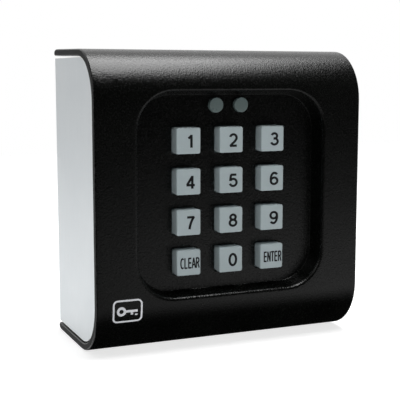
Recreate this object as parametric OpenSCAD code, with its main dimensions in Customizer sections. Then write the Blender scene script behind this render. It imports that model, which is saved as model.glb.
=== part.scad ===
// Keypad access reader: a bent cover with a recessed keypad over a sheet-metal chassis.
// +X is to the right seen from the front, +Y goes into the wall, +Z is up.
// The origin lies on the wall face, at the centre of the wall screw pattern.

/* [Cover] */
// Width of the cover
cover_w = 100; // [94:1:120]
// Height of the cover at its front curves
cover_h = 103.8; // [103:0.2:112]
// Depth from the wall to the front face
cover_d = 50; // [49:0.5:56]
// Wall thickness of the cover
cover_t = 2.5; // [2:0.1:2.8]
// Outer radius of the top front curve
top_r = 17.8; // [15:0.2:19]
// Outer radius of the bottom front curve
bottom_r = 18.8; // [16:0.2:19]
// Angle that the top flange opens by, so that the cover springs over the chassis
flange_splay = 1.2; // [0:0.1:2]
// Gap between the cover's back edges and the wall
wall_gap = 1.2; // [0.8:0.1:3]

/* [Recess] */
// Side of the square recess at the front face
recess_w = 70.8; // [70:0.2:74]
// Height of the recess centre above the key grid's centre
recess_z = 2.7; // [2.4:0.1:3]
// Depth of the recess
recess_d = 6.4; // [5.6:0.1:6.8]
// Corner radius of the recess at the front face
recess_r = 13.8; // [8:0.2:16]
// Inward slope of the recess walls, in mm per mm of depth
recess_slope = 0.24; // [0.1:0.02:0.3]

/* [Keys] */
// Side of a key cap
key_w = 9; // [7.8:0.1:9.4]
// Height of a key face above the recess floor
key_proud = 4; // [3:0.1:4.6]
// Distance between key columns
pitch_x = 16; // [14:0.1:17]
// Distance between key rows
pitch_z = 14; // [12:0.1:14.2]
// Travel of a key
key_travel = 1.2; // [0.6:0.1:1.4]
// Gap between a key and its window
key_gap = 0.2; // [0.15:0.05:0.3]

/* [Indicators] */
// Diameter of an indicator window
lens_d = 5.2; // [4:0.1:5.4]
// Distance between the two indicators
lens_pitch = 9.5; // [8.5:0.1:12]
// Height of the indicators above the key grid's centre
lens_z = 32.9; // [32.5:0.1:33]
// How far an indicator window stands out of the recess floor
lens_proud = 1.4; // [0.5:0.1:2]
// Shift of the indicator pair to the right of the key grid's centre
lens_shift = 0.3; // [0:0.1:0.5]

/* [Chassis] */
// Sheet thickness of the chassis
chassis_t = 1.5; // [1:0.1:1.6]
// Inset of the side plates from the cover's ends
chassis_inset = 0.4; // [0.2:0.1:1]
// Distance between the wall screws across
wall_hole_x = 80; // [78:1:82]
// Distance between the wall screws up
wall_hole_z = 72; // [70:1:76]
// Diameter of a wall screw hole
wall_hole_d = 4.5; // [4:0.1:5]
// Diameter of the cable that the grommet takes
cable_d = 7; // [5:0.5:8]

/* [Hidden] */
$fn = 64;
KEYS = [
    ["key_1", -1, 1.5], ["key_2", 0, 1.5], ["key_3", 1, 1.5],
    ["key_4", -1, 0.5], ["key_5", 0, 0.5], ["key_6", 1, 0.5],
    ["key_7", -1, -0.5], ["key_8", 0, -0.5], ["key_9", 1, -0.5],
    ["key_clear", -1, -1.5], ["key_0", 0, -1.5], ["key_enter", 1, -1.5]];

// planes across the depth, from the front face back to the wall
front_y = -cover_d;
inner_front_y = front_y + cover_t;
floor_y = front_y + recess_d;
floor_t = 2.5;
floor_back_y = floor_y + floor_t;
key_face_y = floor_y - key_proud;
board_t = 1.6;
// flange and dome stack behind the recess floor
flange_t = 1;
flange_y = floor_back_y + 0.05;
flange_back_y = flange_y + flange_t;
mat_t = 1.2;
mat_y = flange_back_y + key_travel + 0.25;
dome_top_y = flange_back_y + 0.5;
keypad_board_y = mat_y + mat_t;
keypad_board_back_y = keypad_board_y + board_t;
// main board, carried on standoffs in front of the back plate
plate_y = -chassis_t;
standoff_h = 6;
board_back_y = plate_y - standoff_h;
board_y = board_back_y - board_t;

// centres of the cover's curves
top_c = [front_y + top_r, cover_h / 2 - top_r];
bottom_c = [front_y + bottom_r, -cover_h / 2 + bottom_r];
edge_chamfer = 1.2;
big = 200;
eps = 0.01;

// layout of the boards; points are (x, z)
pin_pitch = 2.54;
led_r = 1.35;
keypad_board_x = 34;
keypad_board_z = [-33.6, 38];
keypad_screw_at = [for (x = [-30, 30], z = [-30.5, 35]) [x, z]];
keypad_screw_r = 1.2;
boss_r = 2.8;
main_board_x = 34;
main_board_z = [-28.5, 32];
standoff_at = [for (x = [-30, 30], z = [-24.5, 28]) [x, z]];
ribbon_t = 0.9;
ribbon_w = 20;
main_plug_z = 26;
keypad_plug_z = 10;
plug_size = [22, 5];
plug_h = 9;
terminal_pitch = 2 * pin_pitch;
terminal_ways = 6;
terminal_z = [-28, -17.8];
terminal_screw_z = -22.4;
terminal_screw_r = 1.9;
terminal_h = 11;
terminal_w = terminal_ways * terminal_pitch;
controller_at = [-3, -0.3];
crystal_at = [6.4, -4.1];
regulator_at = [-12.5, -8.4];
rectifier_at = [22, -19.4];
relay_at = [22.25, -0.5];
buzzer_at = [-25, -14];
header_at = [-17, 18];
tamper_at = [22, 20];
tamper_h = 12;
tamper_rod_r = 1.5;
tamper_collar_r = 2;
tamper_fit = 0.05;
tamper_rise = 2;
tamper_top_y = board_y - tamper_h;
tamper_wall = 1.2;
tamper_collar_t = 1.5;
grommet_z = -38;
cover_screw_x = 25;
cover_screw_y = -12;
tab_y = -18;
peg_x = 30;

// ---- helpers ----

// Extrudes a (y, z) outline along X, centred on x = 0
module along_x(len) {
    rotate([90, 0, 90]) linear_extrude(len, center = true) children();
}

// Extrudes an (x, z) outline from y = y0 back to y = y1
module along_y(y0, y1) {
    translate([0, y1, 0]) rotate([90, 0, 0]) linear_extrude(y1 - y0) children();
}

// Round bar along Y, from y = y0 to y = y1
module rod_y(x, z, y0, y1, r) {
    translate([x, y0, z]) rotate([-90, 0, 0]) cylinder(h = y1 - y0, r = r);
}

// Cone along Y, from radius r0 at y0 to radius r1 at y1
module cone_y(x, z, y0, y1, r0, r1) {
    translate([x, y0, z]) rotate([-90, 0, 0]) cylinder(h = y1 - y0, r1 = r0, r2 = r1);
}

// Box from one corner to the other
module span(a, b) {
    translate(a) cube(b - a);
}

// Rounded rectangle with its corners at a and b
module round_rect(a, b, r) {
    translate([a[0] + r, a[1]]) square([b[0] - a[0] - 2 * r, b[1] - a[1]]);
    translate([a[0], a[1] + r]) square([b[0] - a[0], b[1] - a[1] - 2 * r]);
    for (x = [a[0] + r, b[0] - r], z = [a[1] + r, b[1] - r])
        translate([x, z]) circle(r);
}

// Centred square with rounded corners
module round_square(w, r) {
    round_rect([-w / 2, -w / 2], [w / 2, w / 2], r);
}

// Board with rounded corners, from y0 to y0 + board_t
module board(half_x, z_span, y0, corner_r) {
    along_y(y0, y0 + board_t) round_rect([-half_x, z_span[0]], [half_x, z_span[1]], corner_r);
}

// Square block with rounded corners; from half width a and corner radius r at y0 it narrows by recess_slope
module drafted_block(y0, y1, a, r) {
    c = a - r;
    fall = (y1 - y0) * recess_slope;
    translate([0, 0, recess_z]) {
        along_x(2 * c) polygon([[y0, -a], [y1, fall - a], [y1, a - fall], [y0, a]]);
        linear_extrude(2 * c, center = true)
            polygon([[-a, y0], [a, y0], [a - fall, y1], [fall - a, y1]]);
        for (x = [-c, c], z = [-c, c]) cone_y(x, z, y0, y1, r, r - fall);
    }
}

// Band between two radii, over the angles from a0 to a1
module arc_band(r_out, r_in, a0, a1) {
    intersection() {
        difference() {
            circle(r_out);
            circle(r_in);
        }
        polygon([[0, 0], for (k = [0:4]) let (a = a0 + k * (a1 - a0) / 4) big * [cos(a), sin(a)]]);
    }
}

// Pan-head screw along Y with a cross recess: head in front of y0, shank behind it
module pan_screw(x, z, y0, shank_r, shank_l, head_r, head_h, slot_w) {
    difference() {
        union() {
            rod_y(x, z, y0 - head_h, y0, head_r);
            rod_y(x, z, y0 - eps, y0 + shank_l, shank_r);
        }
        for (arm = [[head_r * 0.62, slot_w / 3], [slot_w / 3, head_r * 0.62]])
            span([x - arm[0], y0 - head_h - 1, z - arm[1]], [x + arm[0], y0 - head_h / 2, z + arm[1]]);
    }
}

// ---- cover ----

// Solid (y, z) profile inside the cover's outer face, pulled in by inset; the flanges end at y = end_y
module cover_profile(inset, end_y, chamfer) {
    r_top = top_r - inset;
    r_bottom = bottom_r - inset;
    z_bottom = -cover_h / 2 + inset;
    // the splayed flange leaves the curve where the two are almost tangent
    meet_y = top_c[0] - r_top * sin(flange_splay);
    crown_z = top_c[1] + (r_top - eps) / cos(flange_splay);
    function flange_z(y) = crown_z + (y - top_c[0]) * tan(flange_splay);
    translate([front_y + inset, bottom_c[1]])
        square([end_y - front_y - inset, top_c[1] - bottom_c[1]]);
    translate(bottom_c) circle(r_bottom);
    translate(top_c) circle(r_top);
    polygon([[bottom_c[0], bottom_c[1] + 1], [bottom_c[0], z_bottom], [end_y - chamfer, z_bottom],
             [end_y, z_bottom + chamfer], [end_y, bottom_c[1] + 1]]);
    polygon([[meet_y, top_c[1] - 1], [meet_y, flange_z(meet_y)],
             [end_y - chamfer, flange_z(end_y - chamfer)],
             [end_y, flange_z(end_y) - chamfer], [end_y, top_c[1] - 1]]);
}

// Hooks under the top flange that drop into the chassis slots
module cover_pegs() {
    for (x = [-peg_x, peg_x])
        span([x - 4, -10.4, cover_h / 2 - cover_t - 3.2], [x + 4, -8, cover_h / 2 - cover_t + 1]);
}

module front_cover() {
    half = recess_w / 2;
    wall = 2;
    pan_y = front_y + 1.5;
    lead = 2;
    color([0.05, 0.05, 0.052]) difference() {
        union() {
            along_x(cover_w) difference() {
                cover_profile(0, -wall_gap, edge_chamfer);
                cover_profile(cover_t, 1, 0);
            }
            drafted_block(pan_y, floor_back_y, half + wall, recess_r + wall);
            for (p = keypad_screw_at) rod_y(p[0], p[1], floor_back_y - 1, keypad_board_y, boss_r);
            cover_pegs();
        }
        drafted_block(front_y - lead, floor_y, half + lead * recess_slope, recess_r + lead * recess_slope);
        for (k = KEYS)
            translate([k[1] * pitch_x, 0, k[2] * pitch_z])
                along_y(floor_y - 1, floor_back_y + 1) round_square(key_w + 2 * key_gap, 0.5);
        for (side = [-1, 1])
            rod_y(lens_x(side), lens_z, floor_y - 1, floor_back_y + 1, lens_d / 2 + 0.05);
        for (p = keypad_screw_at)
            rod_y(p[0], p[1], floor_back_y - 0.8, keypad_board_y + 1, keypad_screw_r + 0.02);
        for (x = [-1, 1]) translate([x * cover_screw_x, cover_screw_y, -cover_h / 2]) {
            translate([0, 0, -1]) cylinder(h = cover_t + 2, r = 1.7);
            translate([0, 0, -eps]) cylinder(h = 1.6, r1 = 3.1, r2 = 1.6);
        }
    }
}

// ---- keys ----

// Cap with rounded front edges, a retaining flange and a stem that bears on the dome
module key_cap(k) {
    edge_r = 0.4;
    corner_r = 1.3;
    depth = flange_y - key_face_y;
    w = key_w / 2;
    color([0.62, 0.65, 0.7]) translate([k[1] * pitch_x, 0, k[2] * pitch_z]) {
        intersection() {
            along_y(key_face_y, flange_y + eps) round_square(key_w, corner_r);
            along_x(key_w + 1) translate([key_face_y, 0]) soft_edge(w, depth, edge_r);
            rotate([0, 90, 0]) along_x(key_w + 1) translate([key_face_y, 0]) soft_edge(w, depth, edge_r);
        }
        along_y(flange_y, flange_back_y) round_square(key_w + 2, 1);
        rod_y(0, 0, flange_back_y - eps, dome_top_y, 2.2);
    }
}

// Half-open outline with both front corners rounded
module soft_edge(w, depth, r) {
    translate([r, -w]) square([depth - r + 1, 2 * w]);
    translate([0, -w + r]) square([depth, 2 * (w - r)]);
    for (s = [-1, 1]) translate([r, s * (w - r)]) circle(r);
}

module key_mat() {
    color([0.75, 0.75, 0.72]) {
        along_y(mat_y, keypad_board_y) difference() {
            round_square(54, 2);
            for (x = [-0.5, 0.5], z = [-1, 0, 1]) translate([x * pitch_x, z * pitch_z]) circle(1);
        }
        for (k = KEYS)
            cone_y(k[1] * pitch_x, k[2] * pitch_z, dome_top_y, mat_y + eps, 2.6, 4);
    }
}

// ---- indicators ----

function lens_x(side) = lens_shift + side * lens_pitch / 2;

module lens(side) {
    r = lens_d / 2;
    edge = 0.4;
    front = floor_y - lens_proud;
    color([0.3, 0.34, 0.34]) {
        cone_y(lens_x(side), lens_z, front, front + edge, r - edge, r);
        rod_y(lens_x(side), lens_z, front + edge, floor_back_y + eps, r);
        rod_y(lens_x(side), lens_z, floor_back_y, floor_back_y + 0.8, r + 0.8);
    }
}

module led(side, tint) {
    color(tint) translate([lens_x(side), 0, lens_z]) {
        rod_y(0, 0, keypad_board_y - 0.5, keypad_board_y, led_r + 0.35);
        rod_y(0, 0, keypad_board_y - led_r - eps, keypad_board_y - 0.4, led_r);
        translate([0, keypad_board_y - led_r - eps, 0]) sphere(led_r);
    }
}

// ---- keypad board ----

module keypad_board() {
    color([0.07, 0.3, 0.16]) difference() {
        board(keypad_board_x, keypad_board_z, keypad_board_y, 2);
        for (p = keypad_screw_at)
            rod_y(p[0], p[1], keypad_board_y - 1, keypad_board_back_y + 1, 1.4);
    }
}

module keypad_screws() {
    color([0.7, 0.7, 0.72]) mirror([0, 1, 0]) for (p = keypad_screw_at)
        pan_screw(p[0], p[1], -keypad_board_back_y, keypad_screw_r, 5.4, 2.2, 1.5, 0.8);
}

// ---- chassis ----

module side_outline() {
    gap = 0.2;
    r_top = top_r - cover_t - gap;
    r_bottom = 15.6;
    z_bottom = -cover_h / 2 + cover_t + 0.7;
    z_top = top_c[1] + r_top;
    y_front = inner_front_y + gap;
    translate([y_front, z_bottom + r_bottom]) square([-y_front, top_c[1] - z_bottom - r_bottom]);
    translate([y_front + r_bottom, z_bottom]) square([-y_front - r_bottom, r_bottom + eps]);
    translate([y_front + r_bottom, z_bottom + r_bottom]) circle(r_bottom);
    translate([top_c[0], top_c[1] - eps]) square([-top_c[0], z_top - top_c[1] + eps]);
    translate(top_c) circle(r_top);
}

// Plan of the bent sheet: a back plate with a side plate at each end
module bent_plan() {
    w = cover_w / 2 - chassis_inset;
    bend_r = chassis_t;
    difference() {
        union() {
            translate([-w, front_y]) square([2 * w, cover_d - bend_r]);
            translate([-w + bend_r, -bend_r - eps]) square([2 * (w - bend_r), bend_r + eps]);
            for (s = [-1, 1]) translate([s * (w - bend_r), -bend_r]) circle(bend_r);
        }
        translate([-w + chassis_t, front_y - 1]) square([2 * (w - chassis_t), cover_d - chassis_t + 1]);
    }
}

module rear_chassis() {
    tab_z = -cover_h / 2 + cover_t;
    lip_z = top_c[1] + top_r - cover_t - 0.2;
    color([0.78, 0.79, 0.81]) difference() {
        union() {
            intersection() {
                linear_extrude(2 * cover_h, center = true) bent_plan();
                along_x(cover_w) side_outline();
            }
            span([-34, tab_y, tab_z], [34, 0, tab_z + chassis_t]);
            span([-34, -chassis_t, tab_z], [34, 0, tab_z + 3]);
            span([-38, -14, lip_z - chassis_t], [38, -chassis_t / 2, lip_z]);
        }
        for (x = [-1, 1], z = [-1, 1])
            rod_y(x * wall_hole_x / 2, z * wall_hole_z / 2, -chassis_t - 1, 1, wall_hole_d / 2);
        rod_y(0, grommet_z, -chassis_t - 1, 1, cable_d / 2 + 2);
        for (x = [-1, 1]) translate([x * cover_screw_x, cover_screw_y, tab_z - 1])
            cylinder(h = chassis_t + 2, r = 1.5);
        for (x = [-peg_x, peg_x])
            span([x - 4.4, -10.8, lip_z - chassis_t - 1], [x + 4.4, -7.6, lip_z + 1]);
    }
}

module cover_screws() {
    color([0.6, 0.6, 0.62]) for (x = [-1, 1])
        translate([x * cover_screw_x, cover_screw_y, -cover_h / 2 + 0.05]) difference() {
            union() {
                cylinder(h = 1.5, r1 = 3, r2 = 1.5);
                cylinder(h = 8, r = 1.5);
            }
            translate([0, 0, -1]) cylinder(h = 2.4, r = 1.1, $fn = 6);
        }
}

module cable_grommet() {
    lip = 1.4;
    color([0.08, 0.08, 0.08]) difference() {
        union() {
            rod_y(0, grommet_z, -chassis_t - lip, 0, cable_d / 2 + 2);
            rod_y(0, grommet_z, -chassis_t - lip, -chassis_t, cable_d / 2 + 3.2);
        }
        rod_y(0, grommet_z, -chassis_t - lip - 1, 1, cable_d / 2);
    }
}

// ---- main board ----

module main_board() {
    color([0.07, 0.3, 0.16]) difference() {
        board(main_board_x, main_board_z, board_y, 1.5);
        for (p = standoff_at) rod_y(p[0], p[1], board_y - 1, board_back_y + 1, 1.6);
    }
}

module board_standoffs() {
    color([0.75, 0.6, 0.3]) for (p = standoff_at) difference() {
        rotate([90, 0, 0]) translate([p[0], p[1], -plate_y])
            cylinder(h = standoff_h, r = 3.1, $fn = 6);
        rod_y(p[0], p[1], board_back_y - 1, plate_y - 1, 1.5);
    }
}

module board_screws() {
    color([0.7, 0.7, 0.72]) for (p = standoff_at)
        pan_screw(p[0], p[1], board_y, 1.5, 5, 2.75, 1.9, 1);
}

// Box centred at a point of the main board, from lift to lift + h in front of it
module on_board(at, size, lift, h) {
    translate([at[0] - size[0] / 2, board_y - lift - h, at[1] - size[1] / 2])
        cube([size[0], h, size[1]]);
}

module microcontroller() {
    pins = 9;
    row_x = 3.6;
    color([0.1, 0.1, 0.1]) on_board(controller_at, [6.4, 23.4], 0.6, 3.4);
    color([0.75, 0.75, 0.75]) for (s = [-1, 1], k = [0:pins - 1])
        on_board(controller_at + [s * row_x, (k - (pins - 1) / 2) * pin_pitch], [1, 0.5], 0, 2.2);
}

module crystal() {
    can = [2.2, 5.5];
    rim = can + [0.4, 0.4];
    color([0.8, 0.8, 0.8]) translate([crystal_at[0], 0, crystal_at[1]]) {
        along_y(board_y - 3.4, board_y - 0.4) round_rect(-can, can, 2.1);
        along_y(board_y - 0.6, board_y) round_rect(-rim, rim, 2.5);
    }
}

// Stands on three leads, with its metal tab behind its case
module voltage_regulator() {
    half = 5;
    lead = 3;
    case_h = 9;
    tab_h = 15.4;
    tab_t = 1.2;
    translate([regulator_at[0], board_y, regulator_at[1]]) {
        color([0.12, 0.12, 0.12]) span([-half, -lead - case_h, 0], [half, -lead, 3.2]);
        color([0.7, 0.7, 0.7]) {
            difference() {
                span([-half, -lead - tab_h, -tab_t], [half, -lead, 0]);
                translate([0, -lead - 12.4, -2]) cylinder(h = 3, r = 1.8);
            }
            for (k = [-1:1]) translate([k * pin_pitch, 0, 0])
                span([-0.4, -lead - eps, 1.1], [0.4, 0, 1.6]);
        }
    }
}

module bridge_rectifier() {
    lead_x = 2.55;
    lead_z = 3.5;
    color([0.1, 0.1, 0.1]) on_board(rectifier_at, [8.4, 6.4], 0.8, 3.3);
    color([0.75, 0.75, 0.75]) for (x = [-lead_x, lead_x], z = [-lead_z, lead_z])
        on_board(rectifier_at + [x, z], [0.6, 0.6], 0, 2);
}

// Can with a rolled groove near its base
module can_capacitor(x, z, r, h) {
    rod_y(x, z, board_y - 1.2, board_y, r);
    rod_y(x, z, board_y - 2.2, board_y - 1.1, r - 0.4);
    rod_y(x, z, board_y - h, board_y - 2.1, r);
}

module capacitors() {
    color([0.12, 0.13, 0.25]) {
        can_capacitor(-24, 6, 5, 16);
        can_capacitor(-13.4, 7, 3.15, 11);
    }
}

module relay() {
    half = [7.75, 9.5];
    color([0.1, 0.25, 0.5]) translate([relay_at[0], 0, relay_at[1]])
        along_y(board_y - 15.3, board_y) round_rect(-half, half, 0.8);
}

module buzzer() {
    color([0.08, 0.08, 0.08]) difference() {
        rod_y(buzzer_at[0], buzzer_at[1], board_y - 8.5, board_y, 6);
        rod_y(buzzer_at[0], buzzer_at[1], board_y - 9.5, board_y - 6, 1.3);
    }
}

// Places its children at each way of the terminal block
module at_ways() {
    for (k = [0:terminal_ways - 1])
        translate([(k + 0.5) * terminal_pitch - terminal_w / 2, board_y, 0]) children();
}

module terminal_block() {
    color([0.12, 0.45, 0.25]) difference() {
        span([-terminal_w / 2, board_y - terminal_h, terminal_z[0]],
             [terminal_w / 2, board_y, terminal_z[1]]);
        at_ways() {
            span([-1.7, -7, terminal_z[0] - 1], [1.7, -3, terminal_z[0] + 6]);
            rod_y(0, terminal_screw_z, -terminal_h - 1, 4 - terminal_h, terminal_screw_r);
        }
    }
}

module terminal_screws() {
    head_y = 1.2 - terminal_h;
    slot = 0.3;
    color([0.75, 0.75, 0.77]) at_ways() difference() {
        rod_y(0, terminal_screw_z, head_y, 4 - terminal_h, terminal_screw_r);
        span([-3, head_y - 1, terminal_screw_z - slot], [3, head_y + 0.8, terminal_screw_z + slot]);
    }
}

module config_header() {
    pin = 0.64;
    color([0.1, 0.1, 0.1]) on_board(header_at, [7.6, 2.6], 0, 2.5);
    color([0.85, 0.7, 0.3]) for (k = [-1:1])
        on_board(header_at + [k * pin_pitch, 0], [pin, pin], 2.4, 6.1);
}

// Bridges the first two pins of the header
module config_jumper() {
    pin_hole = 0.7;
    color([0.75, 0.1, 0.1]) difference() {
        on_board(header_at - [1.25, 0], [4.9, 2.4], 2.6, 6);
        for (k = [-1:0]) on_board(header_at + [k * pin_pitch, 0], [pin_hole, pin_hole], 2, 8);
    }
}

// ---- board connection ----

// Ribbon plug centred at height z, from y0 back to y0 + plug_h
module plug(z, y0) {
    color([0.9, 0.88, 0.8]) translate([-plug_size[0] / 2, y0, z - plug_size[1] / 2])
        cube([plug_size[0], plug_h, plug_size[1]]);
}

module main_connector() {
    plug(main_plug_z, board_y - plug_h);
}

module keypad_connector() {
    plug(keypad_plug_z, keypad_board_back_y);
}

// Flat cable that leaves one plug, turns down, and turns again into the other
module ribbon_cable() {
    y_main = board_y - plug_h;
    y_keypad = keypad_board_back_y + plug_h;
    bend = (y_main - y_keypad) / 2;
    r_out = bend + ribbon_t / 2;
    r_in = bend - ribbon_t / 2;
    color([0.55, 0.56, 0.58]) along_x(ribbon_w) {
        translate([y_main, main_plug_z - bend]) arc_band(r_out, r_in, 90, 180);
        translate([y_main - r_out, keypad_plug_z + bend])
            square([ribbon_t, main_plug_z - keypad_plug_z - 2 * bend]);
        translate([y_keypad, keypad_plug_z + bend]) arc_band(r_out, r_in, 270, 360);
    }
}

// ---- tamper switch ----

module tamper_housing() {
    half = 4;
    translate([tamper_at[0], 0, tamper_at[1]]) color([0.1, 0.1, 0.1]) difference() {
        span([-half, tamper_top_y, -half], [half, board_y, half]);
        rod_y(0, 0, tamper_top_y + tamper_wall, board_y - tamper_collar_t, tamper_collar_r + tamper_fit);
        rod_y(0, 0, tamper_top_y - 1, tamper_top_y + tamper_wall + 1, tamper_rod_r + tamper_fit);
    }
}

// Drawn pushed in by the keypad board; it rises by tamper_rise when the cover comes off
module tamper_plunger() {
    collar_y = tamper_top_y + tamper_wall + tamper_rise;
    color([0.85, 0.3, 0.1]) {
        rod_y(tamper_at[0], tamper_at[1], keypad_board_back_y + 0.02, collar_y + 0.1, tamper_rod_r);
        rod_y(tamper_at[0], tamper_at[1], collar_y, collar_y + tamper_collar_t, tamper_collar_r);
    }
}

// Ring of points round the wire at angle t of a coil along Y
function wire_ring(t, y, coil_r, wire_r, sides) = [for (k = [0:sides - 1])
    let (a = 360 * k / sides, r = coil_r + wire_r * cos(a)) [r * cos(t), y + wire_r * sin(a), r * sin(t)]];

module coil_spring(coil_r, wire_r, y0, y1, turns) {
    sides = 8;
    steps = 14 * turns;
    rings = [for (s = [0:steps]) wire_ring(360 * turns * s / steps,
             y0 + wire_r + (y1 - y0 - 2 * wire_r) * s / steps, coil_r, wire_r, sides)];
    quads = [for (s = [0:steps - 1], k = [0:sides - 1]) let (m = (k + 1) % sides)
        [s * sides + k, (s + 1) * sides + k, (s + 1) * sides + m, s * sides + m]];
    ends = [[for (k = [0:sides - 1]) k], [for (k = [sides - 1:-1:0]) steps * sides + k]];
    polyhedron([for (ring = rings) each ring], concat(quads, ends));
}

module tamper_spring() {
    y0 = tamper_top_y + tamper_wall + tamper_rise + tamper_collar_t + 0.05;
    color([0.8, 0.8, 0.8]) translate([tamper_at[0], 0, tamper_at[1]])
        coil_spring(1.5, 0.2, y0, board_y - tamper_collar_t - 0.05, 5);
}

front_cover();
rear_chassis();
lens(-1);  // lens_left
lens(1);  // lens_right
led(-1, [0.8, 0.1, 0.1]);  // led_red
led(1, [0.1, 0.7, 0.2]);  // led_green
key_mat();
keypad_board();
keypad_screws();
main_board();
board_standoffs();
board_screws();
microcontroller();
crystal();
voltage_regulator();
bridge_rectifier();
capacitors();
relay();
buzzer();
terminal_block();
terminal_screws();
config_header();
config_jumper();
main_connector();
keypad_connector();
ribbon_cable();
tamper_housing();
tamper_plunger();
tamper_spring();
cable_grommet();
cover_screws();
for (k = KEYS) key_cap(k);
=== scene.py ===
"""Keypad access reader: the looks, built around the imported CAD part.

Shapes are worked out in millimetres in the part's own frame and written to Blender in metres.
+X is to the right seen from the front, +Y goes into the wall and +Z is up.
"""

import math

import bmesh
import bpy
import numpy as np
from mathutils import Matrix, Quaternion, Vector


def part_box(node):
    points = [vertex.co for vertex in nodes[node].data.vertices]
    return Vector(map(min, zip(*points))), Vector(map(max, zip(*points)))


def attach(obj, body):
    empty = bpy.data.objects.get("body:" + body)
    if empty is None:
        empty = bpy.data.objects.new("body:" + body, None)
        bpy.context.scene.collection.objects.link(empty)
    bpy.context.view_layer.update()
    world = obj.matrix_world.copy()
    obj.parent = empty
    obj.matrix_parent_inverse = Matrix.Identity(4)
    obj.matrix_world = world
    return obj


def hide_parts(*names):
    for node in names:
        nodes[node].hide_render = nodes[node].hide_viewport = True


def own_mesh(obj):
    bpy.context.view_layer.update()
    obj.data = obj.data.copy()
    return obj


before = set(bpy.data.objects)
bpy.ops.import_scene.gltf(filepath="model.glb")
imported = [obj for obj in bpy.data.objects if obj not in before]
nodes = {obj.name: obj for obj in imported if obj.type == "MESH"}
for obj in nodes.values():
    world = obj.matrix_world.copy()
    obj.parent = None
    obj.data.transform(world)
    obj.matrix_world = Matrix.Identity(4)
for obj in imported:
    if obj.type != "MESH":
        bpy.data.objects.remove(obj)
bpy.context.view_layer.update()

MM = 0.001
SHARP_ANGLE = 35
HOUSING = "housing"
scene = bpy.context.scene


# ---- camera ----

CAMERA_AT = (-0.138393, -0.342462, 0.042344)
CAMERA_YAW = math.radians(-23.23)
CAMERA_PITCH = math.radians(-7.411)
CAMERA_LENS = 84.853


def make_camera():
    data = bpy.data.cameras.new("camera")
    data.lens = CAMERA_LENS
    data.clip_start = 0.01
    data.clip_end = 20
    cam = bpy.data.objects.new("camera", data)
    scene.collection.objects.link(cam)
    cam.location = CAMERA_AT
    look = Vector((
        -math.sin(CAMERA_YAW) * math.cos(CAMERA_PITCH),
        math.cos(CAMERA_YAW) * math.cos(CAMERA_PITCH),
        math.sin(CAMERA_PITCH),
    ))
    cam.rotation_mode = "QUATERNION"
    cam.rotation_quaternion = look.to_track_quat("-Z", "Y")
    scene.camera = cam


make_camera()


# ---- frame values, in millimetres ----

def box_mm(node):
    lo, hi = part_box(node)
    return np.array(lo) / MM, np.array(hi) / MM


def centre_of(node):
    """The (x, z) middle of a node."""
    lo, hi = box_mm(node)
    return (lo[0] + hi[0]) / 2, (lo[2] + hi[2]) / 2


KEYS = {
    "key_1": "1", "key_2": "2", "key_3": "3",
    "key_4": "4", "key_5": "5", "key_6": "6",
    "key_7": "7", "key_8": "8", "key_9": "9",
    "key_clear": "CLEAR", "key_0": "0", "key_enter": "ENTER",
}
cover_lo, cover_hi = box_mm("front_cover")
chassis_lo, chassis_hi = box_mm("rear_chassis")
mat_lo, mat_hi = box_mm("key_mat")
keypad_board_lo, _ = box_mm("keypad_board")
main_board_lo, main_board_hi = box_mm("main_board")

COVER_HALF = cover_hi[0]
COVER_T = 2.5
FRONT_Y = cover_lo[1]
BACK_Y = cover_hi[1]
BOTTOM_Z = cover_lo[2]
TOP_R = 17.8
BOTTOM_R = 18.8
SPLAY = math.radians(1.2)
BACK_EDGE_R = 1.45
BACK_EDGE_RUN = 2.8
BACK_EDGE_INNER_R = 0.95
END_EDGE_R = 0.5

RECESS_HALF = 35.2
RECESS_R = 13.6
RECESS_Z = 2.7
RECESS_D = 6.4
RECESS_SLOPE = 0.21
RIM_FILLET = 1.3
FLOOR_FILLET = 0.2
FLOOR_T = 2.5
POCKET_WALL = 2.0
FLOOR_Y = FRONT_Y + RECESS_D
FLOOR_BACK_Y = FLOOR_Y + FLOOR_T

KEY_HALF = 4.5
KEY_CORNER_R = 1.3
KEY_FACE_CORNER_R = 0.65
KEY_TAPER = 0.06
KEY_EDGE_R = 0.4
KEY_GAP = 0.2
KEY_FLANGE = 1.0
LENS_R = 2.6

# the flat front lies between the two curves
TOP_C = (FRONT_Y + TOP_R, -BOTTOM_Z - TOP_R)
BOTTOM_C = (FRONT_Y + BOTTOM_R, BOTTOM_Z + BOTTOM_R)


# ---- mesh helpers ----

def link(mesh, name):
    obj = bpy.data.objects.new(name, mesh)
    scene.collection.objects.link(obj)
    return obj


def new_object(name, verts, faces, smooth_angle=30):
    """An object from points in millimetres. Edges sharper than smooth_angle degrees stay sharp."""
    mesh = bpy.data.meshes.new(name)
    mesh.from_pydata([tuple(float(c) * MM for c in v) for v in verts], [], faces)
    tidy_mesh(mesh, smooth_angle)
    return link(mesh, name)


def tidy_mesh(mesh, smooth_angle=30):
    bm = bmesh.new()
    bm.from_mesh(mesh)
    bmesh.ops.remove_doubles(bm, verts=bm.verts, dist=1e-7)
    bmesh.ops.recalc_face_normals(bm, faces=bm.faces)
    bm.to_mesh(mesh)
    bm.free()
    soften(mesh, smooth_angle)


def soften(mesh, smooth_angle):
    mesh.shade_smooth()
    mesh.set_sharp_from_angle(angle=math.radians(smooth_angle))


def loft(name, rings, smooth_angle=30, closed=False):
    """A skin over rings with the same number of points each; it is capped, or closed end to end."""
    count = len(rings[0])
    verts = [p for ring in rings for p in ring]
    faces = []
    last = len(rings) if closed else len(rings) - 1
    for i in range(last):
        a, b = i * count, ((i + 1) % len(rings)) * count
        for j in range(count):
            k = (j + 1) % count
            faces.append((a + j, a + k, b + k, b + j))
    if not closed:
        faces.append(tuple(range(count)))
        faces.append(tuple(reversed(range((len(rings) - 1) * count, len(rings) * count))))
    return new_object(name, verts, faces, smooth_angle)


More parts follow.
